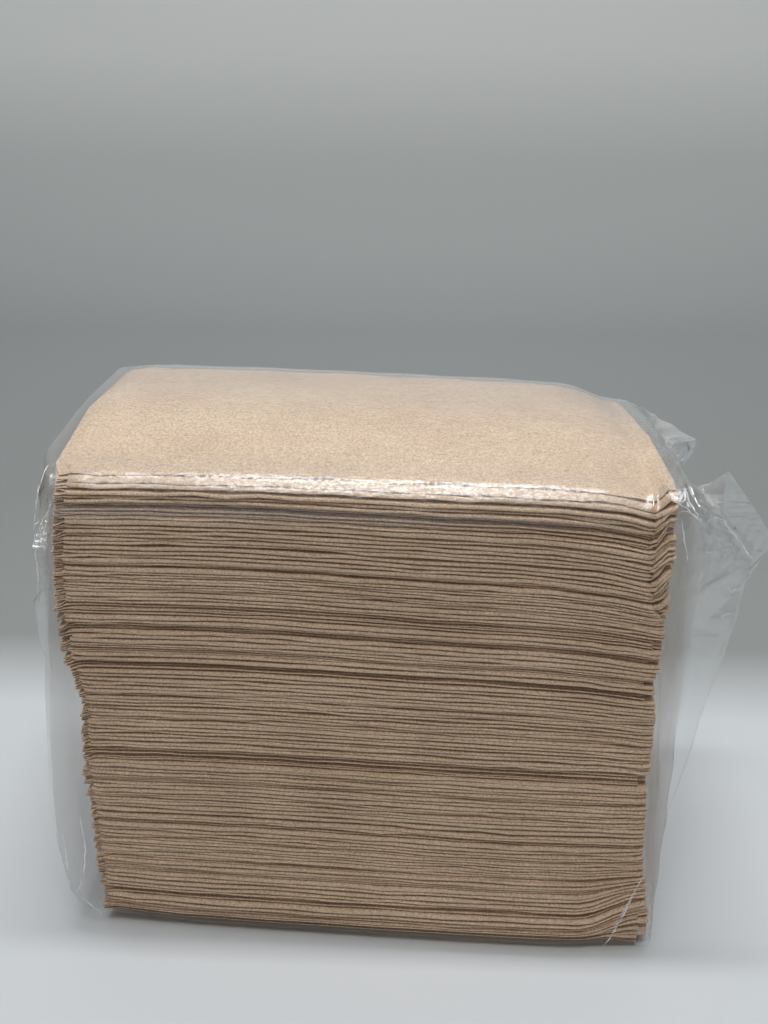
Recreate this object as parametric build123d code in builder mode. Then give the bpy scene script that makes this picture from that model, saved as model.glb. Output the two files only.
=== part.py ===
from build123d import *
from math import pi
import os

# A pack of interfolded kraft paper napkins in a clear film wrap. Every napkin is folded once across
# its middle. They fold in front and at the back in turn, and each holds an edge of the next between
# its two halves. Sizes are in millimetres. X runs along the folds, Y from the folds in front to the
# folds at the back, and Z up the stack. The origin is on the underside of the film, below the
# middle of the stack.

# Napkins
napkin_length = 165.0  # along the fold
folded_depth = 108.0  # from the folds in front to the folds at the back
napkins_in_front = 125  # folded in front, with as many folded at the back
panel_thickness = 0.25  # one half of a napkin, two plies of soft kraft tissue
panel_gap = 0.04  # air between neighbouring halves
edge_gap = 1.5  # from a cut edge to the fold that it lies in
side_shift = 3.0  # how much further left the napkins folded at the back lie

# Film
film_thickness = 0.05
film_clearance = 0.1  # between the film and the stack, where the film is drawn tight
left_slack = 8.0  # how far the loose film stands off the stack's left end
left_slack_low = 14.0  # height where the loose film on the left starts to stand off
left_slack_high = 20.0  # how far under the top it comes back to the stack
seal_reach = 24.0  # from the stack's right end to where the film's end is sealed
seal_drop = 15.0  # how far the seal lies under the top of the stack
seal_width = 6.0  # the flat sealed strip, two films thick

# A panel is one half of a napkin. Panels are counted in levels from the top of the stack.
napkin_count = 2 * napkins_in_front
level_count = 2 * napkin_count
pitch = panel_thickness + panel_gap
stack_height = level_count * pitch
stack_bottom = film_thickness + film_clearance
stack_top = stack_bottom + stack_height
stack_left = -(napkin_length + side_shift) / 2
stack_right = (napkin_length + side_shift) / 2

# A napkin in the middle of the stack has two panels of its neighbours between its own two. The
# first and the last napkin hold only one.
full_span = 3 * pitch
short_span = 2 * pitch


def level_height(level):
    """Height of the middle of a panel, where level 1 is the top one."""
    return stack_top - (level - 0.5) * pitch


def folded_section(span, fold_side):
    """Section of one napkin, in Y and Z, about the middle of its fold's height.

    span is the height between the middles of its two panels. fold_side is -1 for a fold in front
    and 1 for a fold at the back.
    """
    inner = (span - panel_thickness) / 2
    outer = (span + panel_thickness) / 2
    fold_centre = fold_side * (folded_depth / 2 - (full_span + panel_thickness) / 2)
    inner_tip = fold_centre + fold_side * inner
    outer_tip = fold_centre + fold_side * outer
    cut_edge = -fold_side * (folded_depth / 2 - full_span / 2 - panel_thickness / 2 - edge_gap)
    with BuildSketch() as section:
        with BuildLine():
            ThreePointArc((fold_centre, outer), (outer_tip, 0), (fold_centre, -outer))
            Line((fold_centre, -outer), (cut_edge, -outer))
            Line((cut_edge, -outer), (cut_edge, -inner))
            Line((cut_edge, -inner), (fold_centre, -inner))
            ThreePointArc((fold_centre, -inner), (inner_tip, 0), (fold_centre, inner))
            Line((fold_centre, inner), (cut_edge, inner))
            Line((cut_edge, inner), (cut_edge, outer))
            Line((cut_edge, outer), (fold_centre, outer))
        make_face()
    return section.sketch


def upper_level(number):
    """Level of a napkin's upper panel, where napkin 1 is the top one."""
    return 1 if number == 1 else 2 * (number - 1)


def lower_level(number):
    """Level of a napkin's lower panel."""
    return level_count if number == napkin_count else 2 * number + 1


def fold_height(number):
    """Height of the middle of a napkin's fold."""
    return (level_height(upper_level(number)) + level_height(lower_level(number))) / 2


front_plane = Plane.YZ.offset(stack_right - napkin_length)
back_plane = Plane.YZ.offset(stack_left)

with BuildPart() as top_napkin:
    with BuildSketch(front_plane):
        with Locations((0, fold_height(1))):
            add(folded_section(short_span, -1))
    extrude(amount=napkin_length)

with BuildPart() as napkins_folded_in_front:
    with BuildSketch(front_plane):
        with Locations([(0, fold_height(number)) for number in range(3, napkin_count, 2)]):
            add(folded_section(full_span, -1))
    extrude(amount=napkin_length)

with BuildPart() as napkins_folded_at_back:
    with BuildSketch(back_plane):
        with Locations([(0, fold_height(number)) for number in range(2, napkin_count, 2)]):
            add(folded_section(full_span, 1))
    extrude(amount=napkin_length)

with BuildPart() as bottom_napkin:
    with BuildSketch(back_plane):
        with Locations((0, fold_height(napkin_count))):
            add(folded_section(short_span, 1))
    extrude(amount=napkin_length)

# The film is a closed bag: tight under, over, in front of and behind the stack, loose on the left,
# and drawn out on the right to a flat seal that runs from front to back.
inside_left = stack_left - film_clearance
inside_right = stack_right + film_clearance
inside_bottom = film_thickness
inside_top = stack_top + film_clearance
inside_half_depth = folded_depth / 2 + film_clearance
seal_x = stack_right + seal_reach
seal_z = stack_top - seal_drop

inside_outline = [
    (inside_left, inside_bottom),
    (inside_right, inside_bottom),
    (seal_x, seal_z),
    (inside_right, inside_top),
    (inside_left, inside_top),
    (stack_left - left_slack, stack_top - left_slack_high),
    (stack_left - left_slack, left_slack_low),
]

with BuildPart() as film_wrap:
    with BuildSketch(Plane.XZ) as outside:
        with BuildLine():
            Polyline(*inside_outline, close=True)
        make_face()
        offset(amount=film_thickness, kind=Kind.INTERSECTION, mode=Mode.REPLACE)
        with Locations((seal_x, seal_z)):
            Rectangle(seal_width, 2 * film_thickness, align=(Align.MIN, Align.CENTER))
    extrude(amount=inside_half_depth + film_thickness, both=True)
    with BuildSketch(Plane.XZ) as inside:
        with BuildLine():
            Polyline(*inside_outline, close=True)
        make_face()
    extrude(amount=inside_half_depth, both=True, mode=Mode.SUBTRACT)

top_napkin.part.label = "top_napkin"
napkins_folded_in_front.part.label = "napkins_folded_in_front"
napkins_folded_at_back.part.label = "napkins_folded_at_back"
bottom_napkin.part.label = "bottom_napkin"
film_wrap.part.label = "film_wrap"

os.makedirs("parts", exist_ok=True)
export_step(top_napkin.part, "parts/top_napkin.step")
export_step(napkins_folded_in_front.part, "parts/napkins_folded_in_front.step")
export_step(napkins_folded_at_back.part, "parts/napkins_folded_at_back.step")
export_step(bottom_napkin.part, "parts/bottom_napkin.step")
export_step(film_wrap.part, "parts/film_wrap.step")

panel_run = folded_depth - full_span - panel_thickness - edge_gap
fold_length = pi * full_span / 2
print("stack height", stack_height)
print("napkin laid flat", napkin_length, "by", 2 * panel_run + fold_length)
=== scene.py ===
import math

import bmesh
import bpy
import numpy as np
from mathutils import Matrix, Vector


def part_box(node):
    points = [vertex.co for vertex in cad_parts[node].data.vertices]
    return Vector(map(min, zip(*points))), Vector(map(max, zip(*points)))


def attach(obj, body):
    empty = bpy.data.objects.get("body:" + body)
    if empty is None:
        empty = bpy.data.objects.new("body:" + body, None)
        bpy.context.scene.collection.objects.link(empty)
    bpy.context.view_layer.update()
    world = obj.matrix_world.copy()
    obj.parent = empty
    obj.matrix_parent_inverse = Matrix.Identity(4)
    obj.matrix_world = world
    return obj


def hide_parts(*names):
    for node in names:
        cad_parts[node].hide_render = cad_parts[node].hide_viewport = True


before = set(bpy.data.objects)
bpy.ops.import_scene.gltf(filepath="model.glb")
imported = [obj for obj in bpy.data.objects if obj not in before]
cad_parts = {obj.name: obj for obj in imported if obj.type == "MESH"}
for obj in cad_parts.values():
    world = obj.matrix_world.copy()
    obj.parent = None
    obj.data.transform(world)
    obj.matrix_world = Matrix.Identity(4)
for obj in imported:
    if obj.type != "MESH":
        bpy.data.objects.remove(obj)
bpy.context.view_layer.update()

# Shapes are worked out in millimetres, in the CAD's frame, and turned into metres in make_object.
MM = 0.001
SEED = 11
random = np.random.default_rng(SEED)

# The CAD stack
NAPKINS = 250  # numbered from the top: odd ones fold in front, even ones at the back
LEVELS = 2 * NAPKINS  # a level is one half of one napkin, counted from the top
SPANS = NAPKINS // 2 + 1  # down one side: its own folds, and one outer panel of the other side's
NAPKIN_LENGTH, NAPKIN_WIDTH = 165.0, 212.1  # one napkin laid flat
FILLED = 0.86  # share of each level's height that its panel fills

front_low, front_high = (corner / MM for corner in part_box("napkins_folded_in_front"))
back_low, back_high = (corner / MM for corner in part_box("napkins_folded_at_back"))
STACK_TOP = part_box("top_napkin")[1].z / MM
STACK_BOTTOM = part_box("bottom_napkin")[0].z / MM
FRONT, BACK = front_low.y, back_high.y
FRONT_SET_LEFT, BACK_SET_LEFT = front_low.x, back_low.x
STACK_LEFT, STACK_RIGHT = back_low.x, front_high.x
STACK_HEIGHT = STACK_TOP - STACK_BOTTOM
PITCH = STACK_HEIGHT / LEVELS


def smooth(value, start, end):
    """0 at start, 1 at end, with a soft turn at both."""
    t = np.clip((value - start) / (end - start), 0.0, 1.0)
    return t * t * (3.0 - 2.0 * t)


def bell(value, middle, width):
    return np.exp(-(((value - middle) / width) ** 2))


def table(value, *pairs):
    """Straight runs between (place, amount) pairs."""
    places, amounts = zip(*pairs)
    return np.interp(value, places, amounts)


# ---------------------------------------------------------------- how the stack has settled

# Here x, y and z are places in the straight CAD stack. height runs from 0 at its bottom to 1 at its
# top, and across from 0 in front to 1 at the back.
TOP_EDGE_ROUND, BOTTOM_EDGE_ROUND = 8.0, 4.2  # how round the paper's front edges are
EDGE_DEPTH = 0.12  # share of the depth, from the front, over which that rounding fades away
GROOVE_WIDTH, GROOVE_DEPTH, GROOVE_DROP = 1.2, 2.3, 0.8  # of the groove where the stack was pinched
GROOVE_END, GROOVE_FULL = 104.0, 114.0  # heights where the groove runs out, and where it is whole


def pinch_place(z):
    """Where the right end was pinched: a groove that runs down the upper third and out at the end."""
    return table(z, (104, 88.0), (111, 85.5), (115, 84.0), (120, 80.6), (127, 78.6), (134, 78.0),
                 (146, 78.6))


def groove(x, z):
    """How much of the pinch's groove is at a place, from 0 to 1."""
    return bell(x, pinch_place(z), GROOVE_WIDTH) * smooth(z, GROOVE_END, GROOVE_FULL)


def settled_x(x, z, height, across):
    """The ends wander sideways with height."""
    left = smooth(x, 20.0, STACK_LEFT)
    right = smooth(x, 20.0, STACK_RIGHT)
    left_shift = table(z, (0, 2.6), (8, 3.2), (23, 2.0), (45, 0.9), (59, 0.4), (75, 1.6), (80, 1.4),
                       (88, -0.4), (92, -2.2), (105, -3.2), (125, -2.0), (141, -0.2), (146, 0.2))
    right_shift = table(z, (0, 0.6), (15, -0.9), (33, -2.6), (51, -2.8), (68, -2.7), (84, -2.4),
                        (96, -3.4), (103, -1.9), (115, -1.6), (133, -0.8), (146, -1.0))
    new_x = x + left * left_shift + right * right_shift

    # On the left the highest layers slide out a little behind the front corner. On the right their
    # back corner is rounded off.
    out = 5.6 * left * height ** 3 * smooth(across, 0.0, 0.22) * (1.0 - smooth(across, 0.9, 1.05))
    rounding = 4.0 * right * height ** 3 * smooth(across, 0.6, 1.0)
    return new_x - out - rounding


def settled_y(x, y, z, height, across, for_paper):
    """The bottom of the front bows towards the viewer, and the top leans back a little."""
    bow = table(x, (-84, 3.2), (-61, 4.6), (-36, 5.9), (10, 7.8), (34, 8.6), (58, 9.1), (76, 7.4),
                (84, 6.0))
    new_y = y - bow * (1.0 - height) ** 3 * (1.0 - across)
    new_y = new_y + 1.2 * (1.0 - across) * height ** 6

    # The topmost and the lowest folds lie back a little, so the stack's front edges are round.
    if for_paper:
        over = np.clip((z - STACK_TOP) / TOP_EDGE_ROUND + 1.0, 0.0, 1.0)
        under = np.clip(1.0 - (z - STACK_BOTTOM) / BOTTOM_EDGE_ROUND, 0.0, 1.0)
        at_front = 1.0 - smooth(across, 0.0, EDGE_DEPTH)
        new_y = new_y + TOP_EDGE_ROUND * (1.0 - np.sqrt(1.0 - over ** 2)) * at_front
        new_y = new_y + BOTTOM_EDGE_ROUND * (1.0 - np.sqrt(1.0 - under ** 2)) * at_front
        new_y = new_y + GROOVE_DEPTH * groove(x, z) * at_front
    return new_y


def dip(x, z, across, for_paper):
    """How far the layers dip towards the pinch. In the strip to the right of it they come up again."""
    broad_sag = table(z, (0, 0.0), (10, 0.2), (22, 1.0), (35, 2.2), (60, 2.4), (85, 2.8), (98, 3.4),
                      (110, 3.7), (125, 3.4), (138, 2.8), (146, 1.6))
    pinch_sag = table(z, (0, 0.0), (30, 0.2), (48, 1.0), (60, 1.5), (72, 2.2), (85, 3.4), (110, 4.1),
                      (125, 4.2), (138, 3.3), (146, 2.0))
    start, pinch = 38.0, pinch_place(z)
    drop = broad_sag * smooth(x, -50.0, 50.0)
    drop = drop + pinch_sag * np.clip((x - start) / (pinch - start), 0.0, 1.0) ** 1.6
    rise = smooth(x, pinch, pinch + 4.0) * table(
        z, (0, 0.0), (104, 0.0), (114, 0.40), (125, 0.60), (146, 0.80))
    rise = rise * (1.0 - 0.7 * smooth(across, 0.1, 0.6))
    drop = drop * (1.0 - rise) * (1.0 - 0.55 * smooth(across, 0.0, 0.8))
    if for_paper:
        drop = drop + GROOVE_DROP * groove(x, z) * (1.0 - smooth(across, 0.0, 0.3))
    return drop


def dome(x, height, across):
    """How far the upper layers lift: most at the back on the left. They droop at the right end."""
    droop = 4.5 * smooth(x, 60.0, 86.0) ** 1.5 * (0.35 + 0.65 * smooth(across, 0.3, 1.0))
    droop = droop + 0.7 * smooth(x, -76.0, -85.0) ** 1.5
    along = table(x, (-84, 1.1), (-30, 0.85), (40, 0.42), (84, 0.0))
    lift = 2.2 + 4.2 * smooth(across, 0.0, 0.62) * along
    lift = lift - 1.8 * smooth(across, 0.9, 1.0)
    return height ** 4 * (lift - droop)


def foot_lifts(x, z, height, across):
    """How far the lowest layers lift at the two front corners, and along the front edge."""
    lowest = (1.0 - height) ** 12
    corners = 1.6 * lowest * smooth(x, -58.0, -86.0)
    corners = corners + 7.5 * smooth(x, 64.0, 83.0) * smooth(z, 34.0, 8.0) * smooth(z, 0.0, 6.0)
    edge = 3.5 * lowest * smooth(x, 88.0, 70.0)
    return corners * (1.0 - smooth(across, 0.0, 0.6)), edge * (1.0 - smooth(across, 0.0, 0.14))


def settle(x, y, z, for_paper=True):
    """Moves points of the straight CAD stack to where the real, soft one has settled.

    The film has round edges of its own, and it spans the groove.
    """
    height = np.clip((z - STACK_BOTTOM) / STACK_HEIGHT, 0.0, 1.0)
    across = np.clip((y - FRONT) / (BACK - FRONT), 0.0, 1.0)
    new_x = settled_x(x, z, height, across)
    new_y = settled_y(x, y, z, height, across, for_paper)
    corners, edge = foot_lifts(x, z, height, across)
    new_z = z - dip(x, z, across, for_paper) + dome(x, height, across) + corners + edge
    return new_x, new_y, new_z


# ---------------------------------------------------------------- meshes


def make_object(name, points, faces, material, smooth_angle=35.0):
    """A mesh object from points in millimetres."""
    mesh = bpy.data.meshes.new(name)
    mesh.from_pydata((np.asarray(points) * MM).tolist(), [], faces)
    mesh.validate()
    mesh.shade_smooth()
    mesh.set_sharp_from_angle(angle=math.radians(smooth_angle))
    mesh.materials.append(material)
    piece = bpy.data.objects.new(name, mesh)
    bpy.context.scene.collection.objects.link(piece)
    return piece


# ---------------------------------------------------------------- the napkins


def span_boundaries(unevenness):
    """Heights, from the top down, between neighbouring folds of uneven height."""
    spans = np.exp(random.normal(0.0, unevenness, SPANS))
    spans = np.clip(spans, 0.5, 2.1)
    return STACK_TOP - np.concatenate([[0.0], np.cumsum(spans)]) * STACK_HEIGHT / spans.sum()


def level_heights(boundaries, first):
    """Height of each level's middle. The top span holds `first` levels, and the others up to four."""
    heights = np.empty(LEVELS)
    start = 0
    for top, bottom in zip(boundaries[:-1], boundaries[1:]):
        count = first if start == 0 else min(4, LEVELS - start)
        for i in range(count):
            heights[start + i] = top + (bottom - top) * (i + 0.5) / count
        start += count
    return heights


def upper_level(number):
    return 1 if number == 1 else 2 * (number - 1)


def lower_level(number):
    return LEVELS if number == NAPKINS else 2 * number + 1


# The top span holds three levels in front, in the top napkin's fold, and one at the back.
front_heights = level_heights(span_boundaries(unevenness=0.30), first=3)
back_heights = level_heights(span_boundaries(unevenness=0.22), first=1)
even_heights = STACK_TOP - (np.arange(LEVELS) + 0.5) * PITCH


def panel_height(level, y):
    """Height of a panel's middle at depth y."""
    in_front = smooth(y, -24.0, FRONT + 3.0)
    behind = smooth(y, 24.0, BACK - 3.0)
    even, front, back = (heights[level - 1] for heights in (even_heights, front_heights, back_heights))
    return even + in_front * (front - even) + behind * (back - even)


def set_back(count):
    """How far each fold lies behind the foremost ones: most a little, runs of them more."""
    base = random.gamma(1.0, 0.24, count)
    start = 0
    while start < count:
        run = int(random.integers(1, 4))
        if random.random() < 0.42:
            base[start:start + run] += random.uniform(0.6, 2.8)
        start += run + int(random.integers(0, 3))
    return np.clip(base, 0.0, 4.2)


front_set_back = set_back(NAPKINS // 2)
back_set_back = set_back(NAPKINS // 2)


def stations(shift):
    """Places along a napkin's length where its section is drawn, close together where it bends."""
    left = [0.0, 0.5, 1.4, 2.8, 5.0, 9.0]
    middle = list(np.arange(16.0, 140.0, 9.0) + shift)
    right = [145.0, 149.5, 153.0, 155.5, 157.0, 158.2, 159.6, 161.2, 163.0, 164.4, NAPKIN_LENGTH]
    return np.array(left + middle + right)


def waver(x, amount, shortest=22.0, longest=120.0, waves=4):
    """A smooth random wander along x."""
    lengths = random.uniform(shortest, longest, waves)
    phases = random.uniform(0.0, 2.0 * math.pi, waves)
    return amount / math.sqrt(waves) * sum(
        np.sin(2.0 * math.pi * x / length + phase) for length, phase in zip(lengths, phases))


def napkin(number, arc_steps):
    """Points and faces of one folded napkin: a closed section, drawn at each station."""
    odd = number % 2 == 1
    side = -1.0 if odd else 1.0
    fold_y = FRONT if odd else BACK
    along = stations(random.uniform(-3.0, 3.0))
    x = (FRONT_SET_LEFT if odd else BACK_SET_LEFT) + random.normal(0.0, 0.25) + along
    upper, lower = upper_level(number), lower_level(number)
    if odd:
        # Lower down, the napkins folded in front reach a little further left.
        reach_left = 1.5 * smooth(even_heights[upper - 1], 98.0, 80.0)
        x = x - reach_left * (1.0 - along / NAPKIN_LENGTH)
    retreat = (front_set_back if odd else back_set_back)[(number - 1) // 2] + waver(x, 0.38)
    retreat = np.maximum(retreat, 0.0) + 0.7 * np.exp(-along / 0.8)
    retreat = retreat + 0.7 * np.exp(-(NAPKIN_LENGTH - along) / 0.8)
    tip = fold_y - side * retreat
    near_fold = fold_y - side * 3.0
    top, bottom = panel_height(upper, near_fold), panel_height(lower, near_fold)
    slot = 0.5 * (top - bottom)
    thickness = FILLED * 2.0 * slot / (lower - upper)
    narrowing = random.choice([0.40, 0.54, 0.64, 0.72]) + random.uniform(-0.05, 0.05)
    half = narrowing * slot
    middle = 0.5 * (top + bottom) + random.uniform(-0.9, 0.9) * (slot - half)
    pointed = random.uniform(0.8, 1.6)
    blunt = random.uniform(0.45, 0.85)
    cut = -side * (abs(fold_y) - random.uniform(0.6, 2.2))
    panel_y = [cut, -side * 42.0, 0.0, side * 46.0]

    def chain(face):
        """One face of the paper: over the upper panel, round the fold and back under the lower one."""
        reach = half + face * thickness
        depth = half * pointed + face * thickness
        places = [(y, panel_height(upper, y) + face * thickness) for y in panel_y]
        for angle in np.linspace(0.5 * math.pi, -0.5 * math.pi, arc_steps):
            ahead = max(math.cos(angle), 0.0) ** blunt
            upwards = math.copysign(abs(math.sin(angle)) ** 0.8, angle)
            arc_y = tip - side * (half * pointed + 0.5 * thickness) + side * depth * ahead
            places.append((arc_y, middle + reach * upwards))
        places += [(y, panel_height(lower, y) - face * thickness) for y in reversed(panel_y)]
        return places

    ring = chain(0.5) + chain(-0.5)[::-1]
    points = np.empty((len(x), len(ring), 3))
    ripple = waver(x, 0.14, 9.0, 40.0) * PITCH * 4.0
    for j, (y, z) in enumerate(ring):
        points[:, j, 0] = x
        points[:, j, 1] = y
        points[:, j, 2] = z + ripple * smooth(np.abs(y), 30.0, abs(fold_y))
    if not odd:
        fluff_ends(points, along)
    crumple_right(points, number)
    settled = settle(points[..., 0], points[..., 1], points[..., 2])
    return np.stack(settled, axis=-1).reshape(-1, 3), ring_faces(len(x), len(ring))


def fluff_ends(points, along):
    """The ends of the napkins folded at the back stand out on the left, pinched and ruffled."""
    out = smooth(along, 4.0, 0.5)[:, None]
    near_front = points[0, :, 1] < FRONT + 6.0
    x, y, z = points[..., 0], points[..., 1], points[..., 2]
    y[:, near_front] += out * (FRONT - 0.2 - y[:, near_front]) * 0.8
    middle = z.mean(axis=1, keepdims=True)
    z += random.uniform(0.2, 0.7) * out * (middle - z) + out * random.normal(0.0, 0.26)
    x += out * random.uniform(-0.6, 0.5)
    y += out * random.uniform(0.0, 1.2) * smooth(y, 50.0, 0.0)


def crumple_right(points, number):
    """Right of the pinch the upper layers are crumpled."""
    x, y, z = points[..., 0], points[..., 1], points[..., 2]
    pinch = pinch_place(z)
    share = smooth(x, pinch - 1.0, pinch + 3.0) * smooth(z, 103.0, 112.0) * smooth(y, 10.0, FRONT)
    buckle = math.sin(number * 0.9) * 0.6 + random.normal(0.0, 0.45)
    z += share * buckle * np.sin(math.pi * smooth(x, pinch, STACK_RIGHT + 2.0))
    y += share * abs(random.normal(0.0, 0.7))


def ring_faces(rows, count):
    """Faces of a closed section of `count` points drawn at `rows` stations, with both ends closed."""
    faces = []
    for i in range(rows - 1):
        a, b = i * count, (i + 1) * count
        for j in range(count):
            k = (j + 1) % count
            faces.append((a + j, a + k, b + k, b + j))
    half = count // 2
    for base, flip in ((0, True), ((rows - 1) * count, False)):
        for j in range(half - 1):
            quad = (base + j, base + j + 1, base + count - 2 - j, base + count - 1 - j)
            faces.append(quad[::-1] if flip else quad)
    return faces


def napkin_piece(name, numbers, material, arc_steps):
    """The napkins of these numbers as one piece. arc_steps is how finely each fold is drawn."""
    points, faces, start = [], [], 0
    for number in numbers:
        new_points, new_faces = napkin(number, arc_steps)
        points.append(new_points)
        faces.extend(tuple(start + corner for corner in face) for face in new_faces)
        start += len(new_points)
    return make_object(name, np.concatenate(points), faces, material)


# ---------------------------------------------------------------- the film

# The film is one closed bag. Each of its rings runs round the stack in two halves, upper and lower,
# from a point on the front to a point on the back, and the halves meet in the seal at either end.
FILM_GAP = 0.45  # from the straight stack to the film, in front, over it and behind
SPLIT_Z = 112.0  # height where the two halves of a ring part
FILM_TOP = STACK_TOP + FILM_GAP
FILM_BOTTOM = 0.04  # just over the floor
WELD = 0.01  # points of the film that lie closer together than this are made one
FILM_FRONT = FRONT - FILM_GAP
FILM_BACK = BACK + FILM_GAP
TOP_ROUND, BOTTOM_ROUND, BACK_ROUND = 8.4, 4.6, 0.8  # the film's two front edges, and both at the back
LEFT_STEPS, RIGHT_STEPS = 34, 52  # rings between the stack and each seal
# Where the rings round the stack lie, to just past its ends: closer together at the right end.
BODY_X = np.concatenate([
    np.linspace(STACK_LEFT - 0.4, 62.0, 62), np.linspace(63.0, STACK_RIGHT + 0.4, 34)])
BODY_RINGS = len(BODY_X)


def rounded_path(corner_radius, end_z):
    """Half a ring: the lengths where its stretches end, and a function for its point at a length.

    It runs up or down the front, across, and along the back.
    """
    full_rise = abs(end_z - SPLIT_Z)
    across = FILM_BACK - FILM_FRONT - corner_radius - BACK_ROUND
    side = 1.0 if end_z > SPLIT_Z else -1.0
    marks = np.cumsum([0.0, full_rise - corner_radius, 0.5 * math.pi * corner_radius, across,
                       0.5 * math.pi * BACK_ROUND, full_rise - BACK_ROUND])

    def point(length):
        if length <= marks[1]:
            return FILM_FRONT, SPLIT_Z + side * length
        if length <= marks[2]:
            angle = (length - marks[1]) / corner_radius
            return (FILM_FRONT + corner_radius * (1.0 - math.cos(angle)),
                    end_z - side * corner_radius * (1.0 - math.sin(angle)))
        if length <= marks[3]:
            return FILM_FRONT + corner_radius + length - marks[2], end_z
        if length <= marks[4]:
            angle = (length - marks[3]) / BACK_ROUND
            return (FILM_BACK - BACK_ROUND * (1.0 - math.sin(angle)),
                    end_z - side * BACK_ROUND * (1.0 - math.cos(angle)))
        return FILM_BACK, end_z - side * (BACK_ROUND + length - marks[4])

    return marks, point


def spread(marks, counts):
    """Lengths along a path, with its own number of steps in each stretch."""
    lengths = [0.0]
    for start, end, count in zip(marks[:-1], marks[1:], counts):
        lengths.extend(np.linspace(start, end, count + 1)[1:])
    return np.array(lengths)


def half_rings():
    """(y, z) of the upper and lower halves, and their places along the seal: 0 in front, 1 behind."""
    upper_marks, upper_point = rounded_path(TOP_ROUND, FILM_TOP)
    lower_marks, lower_point = rounded_path(BOTTOM_ROUND, FILM_BOTTOM)
    upper_lengths = spread(upper_marks, (34, 12, 54, 6, 18))
    along_seal = np.interp(upper_lengths, upper_marks, (0.0, 0.20, 0.28, 0.90, 0.94, 1.0))
    lower_lengths = np.interp(along_seal, (0.0, 0.12, 0.26, 0.29, 0.86, 0.89, 1.0),
                              (0.0, 0.62 * lower_marks[1], *lower_marks[1:]))
    upper = np.array([upper_point(length) for length in upper_lengths])
    lower = np.array([lower_point(length) for length in lower_lengths])
    return upper, lower, along_seal


def curve_through(places, *points):
    """A function of place along the seal that runs through points."""
    axes = np.array(points).T
    return lambda value: np.stack([np.interp(value, places, axis) for axis in axes], axis=-1)


# The seal on the right stands out in an ear in front and another behind, and dips in between. A flat
# strip of film runs on past each seal. A strip's edge lies this far from the seal.
RIGHT_SEAL = curve_through(
    (0.0, 0.06, 0.12, 0.20, 0.28, 0.36, 0.55, 0.75, 0.86, 0.92, 0.96, 1.0),
    (99.5, -50.0, 113.5), (104.0, -49.0, 123.5), (101.0, -48.0, 131.0), (95.5, -46.0, 138.5),
    (90.5, -41.0, 142.5), (88.0, -24.0, 136.0), (87.5, 6.0, 130.0), (90.0, 28.0, 128.0),
    (96.0, 40.0, 131.0), (104.5, 46.0, 129.5), (103.5, 47.0, 124.5), (100.5, 48.0, 119.5))
RIGHT_STRIP = curve_through(
    (0.0, 0.06, 0.12, 0.20, 0.28, 0.36, 0.55, 0.75, 0.86, 0.92, 0.96, 1.0),
    (2.5, 0.5, 3.0), (5.5, 0.0, 7.5), (3.8, 0.0, 7.2), (0.8, 0.0, 11.0),
    (2.0, 0.0, 1.5), (2.0, 1.0, 0.0), (2.0, 0.0, -2.0), (2.0, 0.0, -2.0),
    (2.0, 0.0, -2.0), (2.5, 0.5, -1.5), (2.5, 0.5, -2.0), (2.5, 0.5, -2.5))
# The one on the left is drawn round behind the end of the stack.
LEFT_SEAL = curve_through(
    (0.0, 0.12, 0.28, 0.55, 0.80, 1.0),
    (-88.5, -50.0, 113.0), (-89.5, -47.5, 123.0), (-90.5, -36.0, 133.0),
    (-92.0, 4.0, 130.0), (-92.0, 34.0, 126.0), (-91.5, 46.0, 122.0))
LEFT_STRIP = curve_through(
    (0.0, 0.12, 0.28, 0.55, 0.80, 1.0),
    (-0.5, 0.0, -1.0), (-4.0, -1.0, 1.0), (-1.0, 0.0, 1.0),
    (-1.0, 0.0, -1.0), (-1.0, 0.0, -1.0), (-1.5, 1.0, 0.0))
STRIP_STEPS = 8


def loose_share(ring, outwards, lower_half):
    """How much of an end's bulge each point of a ring takes. On the left it is most low down."""
    y, z = ring[:, 1], ring[:, 2]
    if outwards < 0.0:
        return table(z, (0, 2.4), (14, 3.0), (40, 2.1), (80, 1.1), (112, 0.9)) if lower_half else 0.25
    if not lower_half:
        return 0.15
    in_front = smooth(y, -20.0, FRONT)
    return np.clip((z - 16.0) / 96.0, 0.0, 1.0) * in_front + 0.3 * (1.0 - in_front)


def film_cap(ring, seal, outwards, lower_half, bulge, steps):
    """Rings from the edge of the stack to the seal. bulge is how far the loose film stands out."""
    share = loose_share(ring, outwards, lower_half)
    reach = 0.2 + 0.8 * smooth(ring[:, 2], 8.0, 60.0) if outwards > 0.0 and lower_half else 1.0
    lead = ring.copy()
    lead[:, 0] += outwards * 5.0 * reach
    end = seal + 0.22 * (ring - seal)
    rings = []
    for i in range(1, steps + 1):
        t = i / steps
        points = (1 - t) ** 3 * ring + 3 * (1 - t) ** 2 * t * lead
        points = points + 3 * (1 - t) * t ** 2 * end + t ** 3 * seal
        points[:, 0] += outwards * bulge * share * math.sin(math.pi * t ** 0.6)
        rings.append(points)
    return rings


def strip_rings(seal, reach, upper_half):
    """Rings from the seal to the edge of the flat strip, where the two films lie almost together."""
    rings = []
    for i in range(1, STRIP_STEPS + 1):
        t = i / STRIP_STEPS
        apart = 0.05 * (1.0 - t) * (-1.0 if upper_half else 1.0)
        rings.append(seal + t * reach + np.array([0.0, apart, 0.0]))
    return rings


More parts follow.
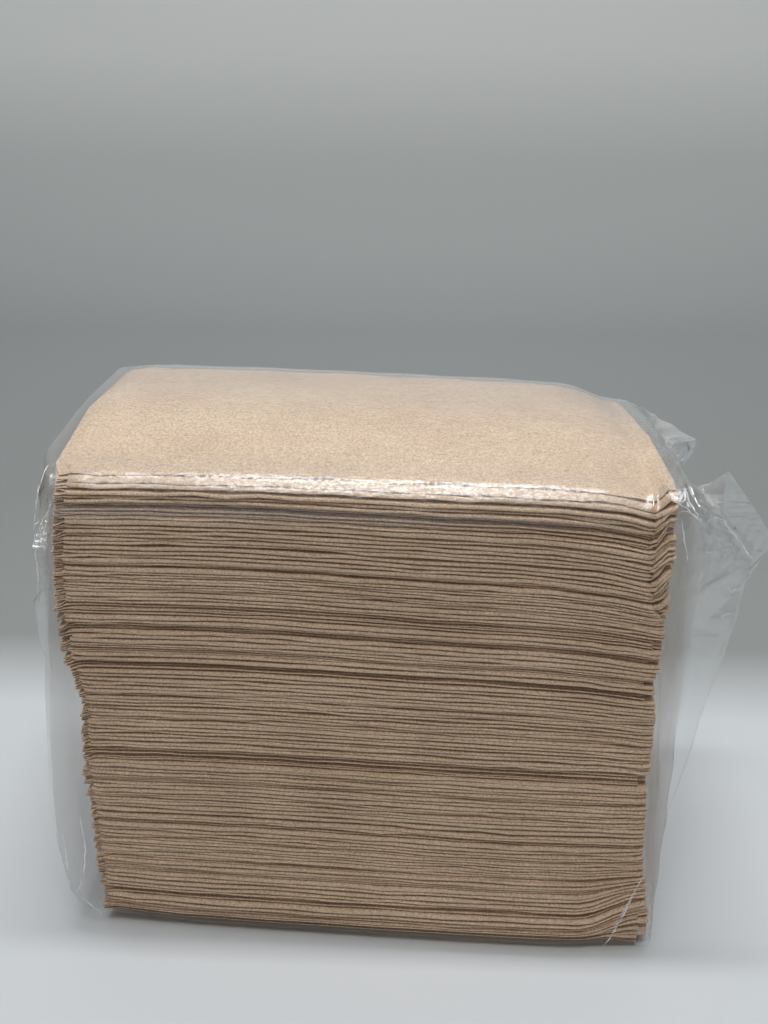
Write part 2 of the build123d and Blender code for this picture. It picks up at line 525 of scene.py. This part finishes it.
def film_points():
    """The bag's rings, from the left strip's edge to the right one's: rings by places by 3."""
    upper, lower, along_seal = half_rings()
    count = len(upper)
    body = []
    for x in BODY_X:
        halves = []
        for half in (upper, lower):
            settled = settle(np.full(count, x), half[:, 0], half[:, 1], for_paper=False)
            halves.append(np.stack(settled, axis=-1))
        body.append(halves)
    left_end, right_end = LEFT_SEAL(along_seal), RIGHT_SEAL(along_seal)
    left_reach, right_reach = LEFT_STRIP(along_seal), RIGHT_STRIP(along_seal)
    left, right = [], []
    for half in (0, 1):
        left.append(film_cap(body[0][half], left_end, -1.0, half == 1, 3.2, LEFT_STEPS)
                    + strip_rings(left_end, left_reach, half == 0))
        right.append(film_cap(body[-1][half], right_end, 1.0, half == 1, 10.0, RIGHT_STEPS)
                     + strip_rings(right_end, right_reach, half == 0))
    rings = list(zip(*left))[::-1] + body + list(zip(*right))
    # Round each ring: the upper half forwards, then the lower half backwards without its two ends.
    return np.array([np.concatenate([above, below[-2:0:-1]]) for above, below in rings])


# Sharp creases in the film: (x, z) points along each, how high it stands and how wide its slopes are.
FRONT_CREASES = (
    (((76.0, 140.0), (77.0, 143.0), (79.0, 144.5), (82.5, 142.5), (85.5, 141.0), (89.5, 137.0)), 0.8, 0.6),
    (((82.5, 142.0), (84.5, 143.5), (84.8, 145.5), (85.7, 142.5), (87.5, 140.0), (89.5, 137.0)), 0.9, 0.5),
    (((83.5, 140.5), (85.5, 140.5), (87.5, 139.0)), 0.5, 0.5),
    (((86.5, 145.5), (87.5, 142.5), (89.5, 141.0), (91.5, 139.5)), 0.8, 0.5),
    (((90.5, 137.5), (92.0, 138.5), (95.5, 136.5), (101.0, 130.0), (103.5, 127.0)), 1.1, 0.5),
    (((83.5, 138.5), (84.5, 134.0), (86.0, 128.5), (86.0, 126.5)), 0.6, 0.5),
    (((89.0, 135.5), (88.5, 126.5), (87.0, 105.0), (86.5, 60.0)), 0.8, 0.8),
    (((102.0, 128.0), (104.0, 126.5)), 0.8, 0.5),
    (((98.0, 118.0), (99.5, 116.5), (101.0, 117.5)), 0.8, 0.5),
    (((98.5, 122.0), (91.0, 117.5), (84.0, 113.0)), 0.7, 0.8),
    (((90.0, 129.0), (94.0, 128.5)), 0.5, 0.6),
    (((101.0, 112.0), (93.5, 80.0), (86.0, 40.0)), 0.5, 0.9),
    (((82.5, 30.0), (76.5, 16.0), (70.5, 2.5)), 0.4, 0.6),
    (((81.0, 27.0), (74.5, 13.0), (72.0, 5.0)), 0.3, 0.5))
BACK_CREASES = (
    (((88.0, 134.5), (96.5, 128.5), (99.5, 127.0), (103.5, 125.5)), 1.4, 0.5),
    (((96.0, 127.0), (98.0, 125.0), (101.5, 123.5)), 1.4, 0.5),
    (((106.0, 124.0), (103.5, 125.0), (102.5, 122.0), (100.5, 120.0)), 1.4, 0.5))
LEFT_CREASES = (
    (((-87.0, 148.0), (-89.5, 139.5), (-91.0, 132.5), (-92.5, 127.0)), 0.8, 0.6),
    (((-91.0, 132.5), (-90.5, 121.0), (-91.5, 109.0)), 0.6, 0.6),
    (((-78.5, 147.0), (-74.0, 143.0)), 0.5, 0.8),
    (((-86.0, 42.5), (-85.0, 28.5), (-86.5, 19.0), (-89.0, 13.5)), 0.8, 0.7),
    (((-89.0, 13.5), (-85.0, 9.5), (-80.5, 2.0)), 0.8, 0.7),
    (((-91.5, 33.0), (-91.0, 14.0)), 0.7, 0.7))
# Where the film is gathered into a knot, creases fan out from it.
KNOTS = (
    (87.0, -53.0, 142.0), (101.0, -48.0, 131.0), (87.0, 50.0, 136.0), (-87.0, -52.0, 142.0),
    (85.0, -54.0, 4.0), (-86.0, -54.0, 4.0), (102.0, 44.0, 125.0), (-87.0, 52.0, 140.0),
    (85.0, 54.0, 5.0), (-86.0, 54.0, 5.0))
SHARP_CREASE = 0.7  # a crease no wider than this gets a strip along its edge with a white painted highlight


def line_crease(points, corners, height, width):
    """A sharp crest along a bent line of (x, z) corners."""
    flat = points[:, (0, 2)]
    nearest = np.full(len(flat), np.inf)
    for start, end in zip(corners[:-1], corners[1:]):
        start, end = np.array(start), np.array(end)
        run = end - start
        share = np.clip((flat - start) @ run / (run @ run), 0.0, 1.0)
        gap = np.linalg.norm(flat - start - share[:, None] * run, axis=1)
        nearest = np.minimum(nearest, gap)
    return height * np.exp(-nearest / width)


def fan(points, knot):
    """Crests that run out from a knot, high near it and fading away from it."""
    away = points - np.array(knot)
    reach = np.linalg.norm(away, axis=1) + 0.01
    angle = np.arctan2(away[:, 2], np.hypot(away[:, 0], 0.6 * away[:, 1]))
    crests = np.zeros(len(points))
    for _ in range(3):
        folds = random.uniform(3.0, 9.0)
        bend = random.uniform(0.0, 0.35) * np.sin(reach / random.uniform(3.0, 7.0))
        crests += (1.0 - np.abs(np.sin(folds * angle + bend + random.uniform(0.0, 6.0)))) ** 2.0 - 0.3
    return crests * np.clip(reach / 5.0, 0.0, 1.0) * np.exp(-reach / 13.0)


def ridged(points, waves, shortest, longest, spread_angle):
    """Straight crests that cross each other at random, less their mean."""
    total = np.zeros(len(points))
    for _ in range(waves):
        length = random.uniform(shortest, longest)
        tilt = random.normal(0.0, spread_angle)
        turn = random.uniform(0.0, math.pi)
        flat = math.cos(tilt)
        across = np.array([math.cos(turn) * flat, math.sin(turn) * flat, math.sin(tilt)])
        wave = np.sin(math.pi * (points @ across) / length + random.uniform(0.0, 6.0))
        total += (1.0 - np.abs(wave)) ** 2.0 - 0.33
    return total / math.sqrt(waves)


def film_wrinkles(points):
    """How far each point of the bag stands out from its smooth shape."""
    rows, count, _ = points.shape
    flat = points.reshape(-1, 3)
    x, y, z = flat[:, 0], flat[:, 1], flat[:, 2]
    row = np.repeat(np.arange(rows, dtype=float), count)
    first, last = LEFT_STEPS + STRIP_STEPS, LEFT_STEPS + STRIP_STEPS + BODY_RINGS - 1
    loose = smooth(row, first, first - 7.0) + smooth(row, last, last + 7.0)
    right_strip = rows - STRIP_STEPS
    strip = smooth(row, STRIP_STEPS + 1.0, STRIP_STEPS - 2.0)
    strip = strip + smooth(row, right_strip - 2.0, right_strip + 1.0)
    heights = np.zeros(len(flat))
    in_front, behind = smooth(y, -8.0, -24.0), smooth(y, 8.0, 24.0)
    for creases, share in ((FRONT_CREASES, in_front), (BACK_CREASES, behind), (LEFT_CREASES, in_front)):
        for corners, height, width in creases:
            heights += line_crease(flat, corners, height, width) * share
    for knot in KNOTS:
        strength = 0.25 if knot[0] > 95.0 else 0.8  # less in the ears
        heights += strength * fan(flat, knot) * (0.25 + 0.75 * loose) * (1.0 - strip)
    calm = (1.0 - 0.6 * behind) * np.where(x < 0.0, 0.35, 1.0)
    heights += calm * loose * (1.0 - strip) * (
        0.5 * ridged(flat, 5, 9.0, 22.0, 0.5) + 0.2 * ridged(flat, 5, 3.0, 7.0, 0.9))
    # The flat strips are crimped.
    crimps = np.tile(np.arange(count) % 4, rows) / 3.0 - 0.5
    heights += 0.16 * crimps * strip
    # Where the film is tight, faint bands run up it.
    taut = 1.0 - loose
    bands = np.sin(x / 4.1 + 0.6 * np.sin(z / 31.0))
    bands = bands + 0.7 * np.sin(x / 7.3 + 1.0 + 0.4 * np.sin(z / 19.0))
    heights += taut * (0.07 * bands + 0.05 * ridged(flat, 4, 4.0, 10.0, 0.15))
    return heights


def film_piece(material):
    """The bag, and its wrinkled surface's points in millimetres."""
    points = film_points()
    rows, count, _ = points.shape
    faces = []
    for i in range(rows - 1):
        a, b = i * count, (i + 1) * count
        for j in range(count):
            k = (j + 1) % count
            faces.append((a + j, b + j, b + k, a + k))
    piece = make_object("film", points.reshape(-1, 3), faces, material, smooth_angle=180.0)
    mesh = bmesh.new()
    mesh.from_mesh(piece.data)
    mesh.verts.ensure_lookup_table()
    heights = film_wrinkles(points)
    for vert, height in zip(mesh.verts, heights):
        lift = vert.normal * float(height) * MM
        vert.co += lift
        vert.co.z = max(vert.co.z, FILM_BOTTOM * MM)
    surface = np.array([list(vert.co) for vert in mesh.verts]) / MM
    bmesh.ops.remove_doubles(mesh, verts=mesh.verts, dist=WELD * MM)
    mesh.to_mesh(piece.data)
    mesh.free()
    return piece, surface


def crease_strand(corners, surface, half_width):
    """A crease's sharp folded edge: a thin tapered strip, three-sided, that lies on the film."""
    places = [np.array(corners[0])]
    for start, end in zip(corners[:-1], corners[1:]):
        start, end = np.array(start), np.array(end)
        steps = max(2, int(np.linalg.norm(end - start) / 0.8))
        places.extend(start + (end - start) * (i + 1) / steps for i in range(steps))
    places = np.array(places) + random.normal(0.0, 0.12, (len(places), 2))
    points = []
    for i, place in enumerate(places):
        # The strip lies just in front of the foremost film near this place.
        gaps = np.hypot(surface[:, 0] - place[0], surface[:, 2] - place[1])
        depth = surface[gaps < max(1.2, gaps.min() + 0.4), 1].min() - 0.05
        before, after = places[max(i - 1, 0)], places[min(i + 1, len(places) - 1)]
        run = (after - before) / np.linalg.norm(after - before)
        taper = 0.25 + 0.75 * math.sin(math.pi * (i + 0.5) / len(places))
        width = half_width * taper * random.uniform(0.6, 1.3)
        for side, out in ((-1.0, 0.0), (0.0, -0.5), (1.0, 0.0)):
            x = place[0] - side * run[1] * width
            z = place[1] + side * run[0] * width
            points.append((x, depth + out * width, z))
    faces = []
    for i in range(len(places) - 1):
        a, b = 3 * i, 3 * i + 3
        for j in range(3):
            k = (j + 1) % 3
            faces.append((a + j, a + k, b + k, b + j))
    end = len(points)
    faces += [(0, 2, 1), (end - 3, end - 2, end - 1)]
    return points, faces


def crease_piece(surface, material):
    """All the sharp creases, in front and on the ear behind."""
    points, faces = [], []
    sheets = ((FRONT_CREASES + LEFT_CREASES, surface[surface[:, 1] < -15.0]),
              (BACK_CREASES, surface[surface[:, 1] > 25.0]))
    for creases, sheet in sheets:
        for corners, height, width in creases:
            if width > SHARP_CREASE:
                continue
            new_points, new_faces = crease_strand(corners, sheet, 0.10 + 0.16 * height)
            faces.extend(tuple(len(points) + corner for corner in face) for face in new_faces)
            points.extend(new_points)
    return make_object("film_creases", points, faces, material, smooth_angle=20.0)


# ---------------------------------------------------------------- materials


def new_material(name):
    """A material without nodes, and its node tree."""
    material = bpy.data.materials.new(name)
    material.use_nodes = True
    material.node_tree.nodes.clear()
    return material, material.node_tree


def fill(tree, socket, value):
    """Sets a socket's own value, or links it to another node's output."""
    if isinstance(value, bpy.types.NodeSocket):
        tree.links.new(value, socket)
    else:
        socket.default_value = value


def add_node(tree, kind, **values):
    """A shader node, with its settings and what fills its sockets."""
    node = tree.nodes.new("ShaderNode" + kind)
    for name, value in values.items():
        if hasattr(node, name):
            setattr(node, name, value)
        else:
            fill(tree, node.inputs[name.replace("_", " ")], value)
    return node


def object_place(tree):
    """The shaded point's place on the object, in metres."""
    return add_node(tree, "TexCoord").outputs["Object"]


def split(tree, place):
    """A place's X, Y and Z."""
    parts = add_node(tree, "SeparateXYZ", Vector=place).outputs
    return parts["X"], parts["Y"], parts["Z"]


def stretched(tree, place, scale, turn=0.0):
    """A place scaled along each axis, for a pattern that is drawn out."""
    node = add_node(tree, "Mapping", Vector=place, Scale=scale, Rotation=(0.0, 0.0, turn))
    return node.outputs["Vector"]


def noise(tree, place, **values):
    return add_node(tree, "TexNoise", Vector=place, **values).outputs["Fac"]


def calculate(tree, operation, *values):
    """What a math node makes of numbers and other nodes' outputs."""
    node = add_node(tree, "Math", operation=operation)
    for socket, value in zip(node.inputs, values):
        fill(tree, socket, value)
    return node.outputs["Value"]


def fade(tree, value, given, wanted):
    """Turns the first range into the second, and stops at its ends."""
    return add_node(tree, "MapRange", Value=value, From_Min=given[0], From_Max=given[1],
                    To_Min=wanted[0], To_Max=wanted[1]).outputs["Result"]


def ramp(tree, value, *stops):
    """A colour for a value, from (value, colour) stops."""
    node = add_node(tree, "ValToRGB", Fac=value)
    elements = node.color_ramp.elements
    while len(elements) < len(stops):
        elements.new(0.5)
    for element, (place, colour) in zip(elements, stops):
        element.position = place
        element.color = (*colour, 1.0)
    return node.outputs["Color"]


def multiply(tree, first, second, share=1.0):
    """One colour darkened or lightened by another."""
    return add_node(tree, "Mix", data_type="RGBA", blend_type="MULTIPLY",
                    Factor=share, A=first, B=second).outputs["Result"]


def bump(tree, height, strength, distance, **values):
    node = add_node(tree, "Bump", Height=height, Strength=strength, Distance=distance, **values)
    return node.outputs["Normal"]


def blend(tree, share, first, second):
    """The first shader, with a share of the second."""
    node = add_node(tree, "MixShader", Fac=share)
    fill(tree, node.inputs[1], first.outputs[0])
    fill(tree, node.inputs[2], second.outputs[0])
    return node


def show(tree, shader):
    add_node(tree, "OutputMaterial", Surface=shader.outputs[0])


def kraft_tissue():
    """Soft unbleached tissue: cloudy tan, with short fibres, a few specks and a light crepe."""
    material, tree = new_material("kraft_tissue")
    place = object_place(tree)
    clouds = noise(tree, place, Scale=45.0, Detail=3.0)
    weave = stretched(tree, place, (1500.0, 850.0, 3200.0))
    grain = noise(tree, weave, Scale=1.0, Detail=2.0, Roughness=0.6)
    drawn = stretched(tree, place, (1900.0, 1200.0, 3000.0), 0.5)
    fibres = noise(tree, drawn, Scale=1.0, Detail=2.0, Distortion=1.2)
    specks = add_node(tree, "TexVoronoi", Vector=place, Scale=420.0, feature="F1").outputs

    colour = ramp(tree, clouds, (0.30, (0.70, 0.515, 0.36)), (0.70, (0.79, 0.60, 0.43)))
    mottle = ramp(tree, grain, (0.34, (0.74, 0.70, 0.66)), (0.50, (0.99, 0.99, 0.99)),
                  (0.68, (1.15, 1.16, 1.17)))
    threads = ramp(tree, fibres, (0.36, (0.84, 0.82, 0.80)), (0.50, (1.0, 1.0, 1.0)),
                   (0.66, (1.12, 1.13, 1.14)))
    dots = ramp(tree, specks["Distance"], (0.05, (0.45, 0.38, 0.32)), (0.11, (1.0, 1.0, 1.0)))
    chosen = calculate(tree, "GREATER_THAN", specks["Color"], 0.93)
    colour = multiply(tree, colour, mottle)
    colour = multiply(tree, colour, threads)
    colour = multiply(tree, colour, dots, chosen)

    crepe = bump(tree, grain, 0.25, 0.0002)
    furrow = bump(tree, fibres, 0.3, 0.0002, Normal=crepe)
    show(tree, add_node(tree, "BsdfPrincipled", Base_Color=colour, Normal=furrow, Roughness=0.95,
                        Specular_IOR_Level=0.15, Sheen_Weight=0.12, Sheen_Roughness=0.6))
    return material


def clear_film():
    """Thin clear film: what lies behind it shows, under a sheen that grows towards grazing view."""
    material, tree = new_material("clear_film")
    place = object_place(tree)
    x, y, z = split(tree, place)
    sideways = calculate(tree, "ABSOLUTE", x)
    drawn = stretched(tree, place, (120.0, 420.0, 420.0))
    ripples = bump(tree, noise(tree, drawn, Scale=1.0, Detail=3.0, Distortion=1.0), 0.3, 0.0006)
    rough = fade(tree, sideways, (0.084, 0.090), (0.34, 0.13))
    gloss = add_node(tree, "BsdfGlossy", Color=(1.0, 1.0, 1.0, 1.0), Normal=ripples, Roughness=rough)
    haze = add_node(tree, "BsdfDiffuse", Color=(0.92, 0.94, 0.95, 1.0), Normal=ripples)
    clear = add_node(tree, "BsdfTransparent", Color=(0.985, 0.99, 0.99, 1.0))

    # Where the film clings to the folds it hardly shines. Over the top it does, in spots near the front
    # edge and evenly towards the back, and so does the loose film at both ends.
    clinging = stretched(tree, place, (700.0, 1100.0, 1100.0))
    spots = noise(tree, clinging, Scale=1.0, Detail=3.0, Roughness=0.65)
    near = fade(tree, y, (-0.046, -0.034), (0.135, 0.03))
    near = calculate(tree, "MULTIPLY", near, fade(tree, spots, (0.40, 0.62), (0.45, 1.5)))
    far = fade(tree, y, (-0.01, 0.05), (0.0, 0.25))
    on_top = calculate(tree, "ADD", near, far)
    on_top = calculate(tree, "MINIMUM", fade(tree, z, (0.134, 0.141), (0.012, 0.30)), on_top)
    at_ends = fade(tree, sideways, (0.084, 0.092), (0.0, 0.13))
    least = calculate(tree, "MAXIMUM", on_top, at_ends)

    # The sheen grows towards grazing view, but hardly where the film lies on the floor.
    facing = add_node(tree, "LayerWeight", Blend=0.5, Normal=ripples).outputs["Facing"]
    grazing = calculate(tree, "POWER", facing, 4.0)
    strength = fade(tree, z, (0.003, 0.012), (0.05, 0.8))
    shine = calculate(tree, "MULTIPLY_ADD", grazing, strength, least)

    # The loose film is milky from being creased all over, and the ear behind more so.
    loose = fade(tree, sideways, (0.084, 0.092), (0.006, 0.10))
    right_ears = fade(tree, x, (0.088, 0.095), (0.0, 0.14))
    behind = fade(tree, y, (0.01, 0.03), (0.0, 1.0))
    crushed = calculate(tree, "MULTIPLY_ADD", right_ears, behind, loose)
    show(tree, blend(tree, crushed, blend(tree, shine, clear, gloss), haze))
    return material


def creased_film():
    """Film where it is sharply folded: shinier than the rest, and white as a painted highlight along the
    fold.
    """
    material, tree = new_material("creased_film")
    gloss = add_node(tree, "BsdfGlossy", Roughness=0.25, Color=(1.0, 1.0, 1.0, 1.0))
    # Painted highlight: this white makes the folded edges show as bright lines.
    painted_highlight = add_node(tree, "BsdfDiffuse", Color=(0.95, 0.96, 0.97, 1.0))
    clear = add_node(tree, "BsdfTransparent", Color=(1.0, 1.0, 1.0, 1.0))
    patches = noise(tree, object_place(tree), Scale=260.0, Detail=2.0)
    cover = fade(tree, patches, (0.35, 0.65), (0.25, 0.9))
    show(tree, blend(tree, cover, clear, blend(tree, 0.6, gloss, painted_highlight)))
    return material


def backdrop():
    """A pale floor, and behind it a grey sweep: its grey, darkest from just behind the pack, is painted
    shade, and its growing lighter as it sweeps up is painted light.
    """
    material, tree = new_material("backdrop")
    _, y, z = split(tree, object_place(tree))
    along = calculate(tree, "MULTIPLY_ADD", z, 2.0, y)
    # Painted shade and light: the floor turns grey just behind the pack, and the sweep lightens again as
    # it rises.
    grey_with_painted_shade = ramp(tree, along, (0.075, (0.70, 0.735, 0.765)), (0.135, (0.33, 0.345, 0.34)),
                (0.60, (0.35, 0.37, 0.37)), (1.0, (0.74, 0.76, 0.75)))
    show(tree, add_node(tree, "BsdfPrincipled", Base_Color=grey_with_painted_shade, Roughness=0.6, Specular_IOR_Level=0.2))
    return material


# ---------------------------------------------------------------- floor, lights and camera


def make_floor():
    """A seamless sweep: flat under the pack, then curving up behind it."""
    half_width, near, middle, bend, radius, wall_top = 2600.0, -2200.0, -600.0, 320.0, 180.0, 2600.0
    bend_steps = 16
    profile = [(near, 0.0), (middle, 0.0), (bend, 0.0)]
    for i in range(1, bend_steps + 1):
        angle = i / bend_steps * math.pi / 2
        profile.append((bend + radius * math.sin(angle), radius * (1.0 - math.cos(angle))))
    profile.append((bend + radius, wall_top))
    points = [(x, y, z) for x in (-half_width, half_width) for y, z in profile]
    count = len(profile)
    faces = [(i, count + i, count + i + 1, i + 1) for i in range(count - 1)]
    floor = make_object("floor", points, faces, backdrop())


def area_light(name, place, target, size, power):
    data = bpy.data.lights.new(name, "AREA")
    data.shape = "RECTANGLE"
    data.size, data.size_y = size
    data.energy = power
    light = bpy.data.objects.new(name, data)
    bpy.context.scene.collection.objects.link(light)
    light.location = Vector(place)
    light.rotation_euler = (Vector(target) - Vector(place)).to_track_quat("-Z", "Y").to_euler()


def make_lights():
    area_light("overhead", (0.0, -0.2, 1.0), (0.0, -0.14, 0.0), (1.1, 0.9), 2.4)
    area_light("key", (0.0, 0.035, 1.2), (0.0, 0.0, 0.0), (0.6, 0.08), 5.0)
    area_light("front", (0.0, -0.62, 1.25), (0.0, -0.05, 0.1), (0.6, 0.25), 4.4)
    area_light("left", (-1.0, -0.8, 0.45), (0.0, 0.0, 0.08), (0.05, 0.9), 0.35)
    area_light("right", (1.0, -0.8, 0.45), (0.0, 0.0, 0.08), (0.05, 0.9), 0.35)
    world = bpy.data.worlds.new("studio")
    world.use_nodes = True
    background = world.node_tree.nodes["Background"]
    background.inputs["Color"].default_value = (0.78, 0.84, 0.88, 1.0)
    background.inputs["Strength"].default_value = 0.045
    bpy.context.scene.world = world


def make_camera():
    """In front of the pack and above it, turned down by its pitch, as fitted to the photo."""
    place = Vector((0.02267, -0.34638, 0.25511))
    yaw, pitch, roll = (math.radians(angle) for angle in (-3.38, 21.6, -0.17))
    data = bpy.data.cameras.new("camera")
    data.lens = 41.7
    data.clip_start = 0.01
    camera = bpy.data.objects.new("camera", data)
    bpy.context.scene.collection.objects.link(camera)
    level = math.cos(pitch)
    ahead = Vector((math.sin(yaw) * level, math.cos(yaw) * level, -math.sin(pitch)))
    right = Vector((math.cos(yaw), -math.sin(yaw), 0.0))
    up = right.cross(ahead)
    rolled_right = math.cos(roll) * right + math.sin(roll) * up
    rolled_up = rolled_right.cross(ahead)
    turn = Matrix((rolled_right, rolled_up, -ahead)).transposed().to_4x4()
    camera.matrix_world = Matrix.Translation(place) @ turn
    bpy.context.scene.camera = camera


# ---------------------------------------------------------------- making it all


make_camera()
make_lights()
make_floor()
bpy.context.scene.view_settings.view_transform = "Standard"

paper = kraft_tissue()
film = clear_film()

# The first and the last napkin are pieces of their own. The others are in two sets of two pieces.
in_front = list(range(3, NAPKINS, 2))
at_back = list(range(2, NAPKINS, 2))
half = len(in_front) // 2
pieces = (
    ("napkin_on_top", [1], 7, "top_napkin", "napkins_at_back_upper"),
    ("napkins_in_front_upper", in_front[:half], 7, "napkins_folded_in_front", "napkins_at_back_upper"),
    ("napkins_in_front_lower", in_front[half:], 7, "napkins_folded_in_front", "napkins_at_back_lower"),
    ("napkins_at_back_upper", at_back[:half], 5, "napkins_folded_at_back", "napkins_in_front_lower"),
    ("napkins_at_back_lower", at_back[half:], 5, "napkins_folded_at_back", "napkin_at_bottom"),
    ("napkin_at_bottom", [NAPKINS], 5, "bottom_napkin", "film"),
)
for name, numbers, arc_steps, node, below in pieces:
    piece = napkin_piece(name, numbers, paper, arc_steps)
    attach(piece, "root")
    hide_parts(node)

bag, bag_surface = film_piece(film)
for piece in (bag, crease_piece(bag_surface, creased_film())):
    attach(piece, "root")
    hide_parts("film_wrap")
